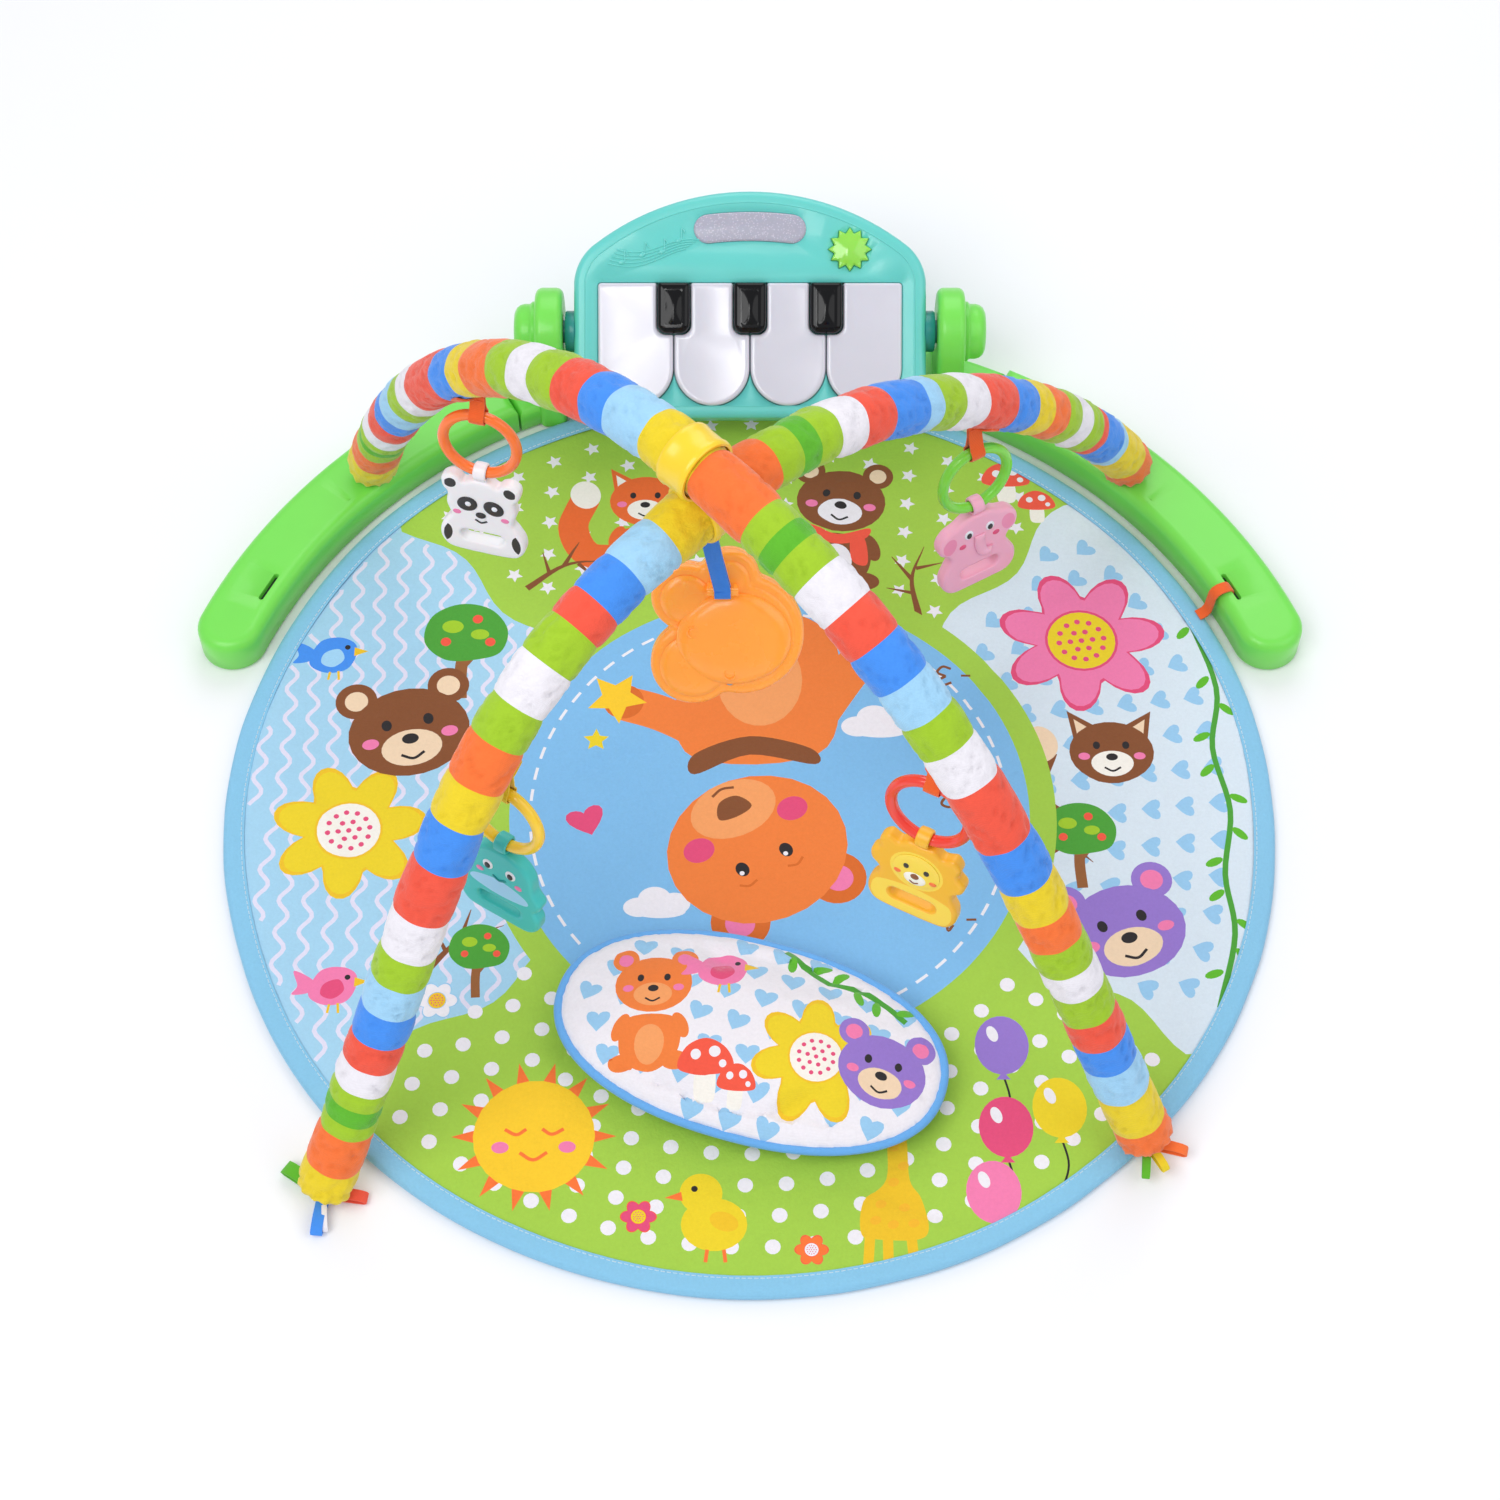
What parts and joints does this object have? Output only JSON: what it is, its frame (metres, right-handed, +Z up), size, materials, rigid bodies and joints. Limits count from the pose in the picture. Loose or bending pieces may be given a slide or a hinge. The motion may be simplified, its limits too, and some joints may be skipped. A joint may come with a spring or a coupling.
{
  "type": "activity play gym",
  "caption": "Round padded play mat with curved floor legs, a tilting kick keyboard, two crossed padded arches with hanging toys, and a loose tummy pillow.",
  "frame": {"origin": "centre of the round mat on the floor", "axes": "+X across the gym to the right as seen from its front, +Y from the open front to the keyboard, +Z up"},
  "size_m": [0.9336, 0.9742, 0.4864],
  "materials": {
    "mat_fabric": "printed quilted polyester",
    "binding": "woven binding tape",
    "green_plastic": "satin moulded",
    "foot_rubber": "matt",
    "screw_steel": "zinc plated",
    "orange_webbing": "woven",
    "yellow_webbing": "woven",
    "blue_webbing": "woven",
    "ribbon": "woven ribbon",
    "sleeve_a_fabric": "striped, padded",
    "sleeve_b_fabric": "striped, padded",
    "pole_plastic": "glass-filled",
    "yellow_plastic": "moulded",
    "orange_plastic": "moulded",
    "red_plastic": "moulded",
    "lime_plastic": "moulded",
    "white_soft": "soft moulded",
    "yellow_soft": "soft moulded",
    "pink_soft": "soft moulded",
    "teal_soft": "soft moulded",
    "mirror_acrylic": "polished",
    "teal_plastic": "satin moulded",
    "window_plastic": "translucent",
    "circuit_board": "coated board",
    "dome_rubber": "matt",
    "speaker_cone": "matt",
    "battery_case": "wrapped steel",
    "rod_steel": "drawn",
    "key_white": "polished",
    "key_black": "polished",
    "button_plastic": "domed, polished",
    "switch_plastic": "fine grain",
    "pillow_fabric": "printed plush cotton"
  },
  "bodies": {
    "base": {"mat_pad": "mat_fabric", "mat_binding": "binding", "centre_base": "green_plastic", "centre_cover": "green_plastic", "left_leg": "green_plastic", "right_leg": "green_plastic", "left_leg_cover": "green_plastic", "right_leg_cover": "green_plastic", "rubber_feet": "foot_rubber", "cover_screws": "screw_steel", "left_pivot_cap": "green_plastic", "right_pivot_cap": "green_plastic", "mat_strap": "orange_webbing"},
    "arches": {"sleeve_a": "sleeve_a_fabric", "sleeve_b": "sleeve_b_fabric", "pole_a": "pole_plastic", "pole_b": "pole_plastic", "socket_plugs": "yellow_plastic", "foot_plugs": "yellow_plastic", "foot_tags": "ribbon", "crossover_clip": "yellow_plastic", "panda_strap": "orange_webbing", "lion_strap": "orange_webbing", "elephant_strap": "orange_webbing", "whale_strap": "yellow_webbing", "mirror_strap": "blue_webbing"},
    "panda_ring_body": {"panda_ring": "orange_plastic"},
    "panda_toy": {"panda_teether": "white_soft"},
    "lion_ring_body": {"lion_ring": "red_plastic"},
    "lion_toy": {"lion_teether": "yellow_soft"},
    "elephant_ring_body": {"elephant_ring": "lime_plastic"},
    "elephant_toy": {"elephant_teether": "pink_soft"},
    "whale_ring_body": {"whale_ring": "yellow_plastic"},
    "whale_toy": {"whale_teether": "teal_soft"},
    "mirror_toy": {"mirror_back": "orange_plastic", "mirror_bezel": "orange_plastic", "mirror_disc": "mirror_acrylic", "mirror_screws": "screw_steel"},
    "keyboard": {"keyboard_front": "teal_plastic", "keyboard_rear": "teal_plastic", "pivot_hubs": "teal_plastic", "light_window": "window_plastic", "light_board": "circuit_board", "main_board": "circuit_board", "contact_mat": "dome_rubber", "speaker": "speaker_cone", "batteries": "battery_case", "battery_door": "teal_plastic", "case_screws": "screw_steel", "key_rod": "rod_steel"},
    "white_key_1_body": {"white_key_1": "key_white"},
    "white_key_2_body": {"white_key_2": "key_white"},
    "white_key_3_body": {"white_key_3": "key_white"},
    "white_key_4_body": {"white_key_4": "key_white"},
    "black_key_1_body": {"black_key_1": "key_black"},
    "black_key_2_body": {"black_key_2": "key_black"},
    "black_key_3_body": {"black_key_3": "key_black"},
    "sun_button_body": {"sun_button": "button_plastic"},
    "switch_slider": {"power_switch": "switch_plastic"},
    "pillow_body": {"pillow": "pillow_fabric"}
  },
  "joints": [
    {"name": "arches_lift", "type": "slide", "parent": "base", "child": "arches", "axis": [0, 0, 1], "range_m": [0, 0.15]},
    {"name": "panda_ring_swing", "type": "hinge", "parent": "arches", "child": "panda_ring_body", "pos_m": [-0.20869, 0.17431, 0.29068], "axis": [0.9659, -0.2588, 0], "range_deg": [-25, 25]},
    {"name": "panda_toy_swing", "type": "hinge", "parent": "panda_ring_body", "child": "panda_toy", "pos_m": [-0.21085, 0.16624, 0.23126], "axis": [0.9659, -0.2588, 0], "range_deg": [-30, 30]},
    {"name": "lion_ring_swing", "type": "hinge", "parent": "arches", "child": "lion_ring_body", "pos_m": [0.12865, -0.17073, 0.3117], "axis": [0.891, -0.454, 0], "range_deg": [-25, 25]},
    {"name": "lion_toy_swing", "type": "hinge", "parent": "lion_ring_body", "child": "lion_toy", "pos_m": [0.12486, -0.17817, 0.25228], "axis": [0.891, -0.454, 0], "range_deg": [-30, 30]},
    {"name": "elephant_ring_swing", "type": "hinge", "parent": "arches", "child": "elephant_ring_body", "pos_m": [0.17691, 0.18456, 0.23331], "axis": [0.866, 0.5, 0], "range_deg": [-25, 25]},
    {"name": "elephant_toy_swing", "type": "hinge", "parent": "elephant_ring_body", "child": "elephant_toy", "pos_m": [0.18108, 0.17733, 0.17389], "axis": [0.866, 0.5, 0], "range_deg": [-30, 30]},
    {"name": "whale_ring_swing", "type": "hinge", "parent": "arches", "child": "whale_ring_body", "pos_m": [-0.17397, -0.15693, 0.2801], "axis": [0.848, -0.5299, 0], "range_deg": [-15, 25]},
    {"name": "whale_toy_swing", "type": "hinge", "parent": "whale_ring_body", "child": "whale_toy", "pos_m": [-0.1784, -0.16401, 0.22068], "axis": [0.848, -0.5299, 0], "range_deg": [-20, 30]},
    {"name": "mirror_swing", "type": "hinge", "parent": "arches", "child": "mirror_toy", "pos_m": [-0.02, -0.005, 0.31], "axis": [1, 0, 0], "range_deg": [-30, 30]},
    {"name": "keyboard_tilt", "type": "hinge", "parent": "base", "child": "keyboard", "pos_m": [0, 0.435, 0.084], "axis": [1, 0, 0], "range_deg": [-25, 10]},
    {"name": "white_key_1_press", "type": "hinge", "parent": "keyboard", "child": "white_key_1_body", "pos_m": [0, 0.46588, 0.11661], "axis": [1, 0, 0], "range_deg": [0, 2.2], "stiffness_Nm_per_rad": 1.2, "springref_deg": -1.72},
    {"name": "white_key_2_press", "type": "hinge", "parent": "keyboard", "child": "white_key_2_body", "pos_m": [0, 0.46588, 0.11661], "axis": [1, 0, 0], "range_deg": [0, 2.2], "stiffness_Nm_per_rad": 1.2, "springref_deg": -1.72},
    {"name": "white_key_3_press", "type": "hinge", "parent": "keyboard", "child": "white_key_3_body", "pos_m": [0, 0.46588, 0.11661], "axis": [1, 0, 0], "range_deg": [0, 2.2], "stiffness_Nm_per_rad": 1.2, "springref_deg": -1.72},
    {"name": "white_key_4_press", "type": "hinge", "parent": "keyboard", "child": "white_key_4_body", "pos_m": [0, 0.46588, 0.11661], "axis": [1, 0, 0], "range_deg": [0, 2.2], "stiffness_Nm_per_rad": 1.2, "springref_deg": -1.72},
    {"name": "black_key_1_press", "type": "hinge", "parent": "keyboard", "child": "black_key_1_body", "pos_m": [0, 0.46588, 0.11661], "axis": [1, 0, 0], "range_deg": [0, 2.2], "stiffness_Nm_per_rad": 1.2, "springref_deg": -1.72},
    {"name": "black_key_2_press", "type": "hinge", "parent": "keyboard", "child": "black_key_2_body", "pos_m": [0, 0.46588, 0.11661], "axis": [1, 0, 0], "range_deg": [0, 2.2], "stiffness_Nm_per_rad": 1.2, "springref_deg": -1.72},
    {"name": "black_key_3_press", "type": "hinge", "parent": "keyboard", "child": "black_key_3_body", "pos_m": [0, 0.46588, 0.11661], "axis": [1, 0, 0], "range_deg": [0, 2.2], "stiffness_Nm_per_rad": 1.2, "springref_deg": -1.72},
    {"name": "sun_button_press", "type": "slide", "parent": "keyboard", "child": "sun_button_body", "axis": [0, 0.5736, -0.8191], "range_m": [0, 0.002], "stiffness_N_per_m": 300, "springref_m": -0.001},
    {"name": "power_switch_slide", "type": "slide", "parent": "keyboard", "child": "switch_slider", "axis": [1, 0, 0], "range_m": [-0.004, 0.004]},
    {"name": "pillow_lift", "type": "slide", "parent": "base", "child": "pillow_body", "axis": [0, 0, 1], "range_m": [0, 0.1]}
  ]
}
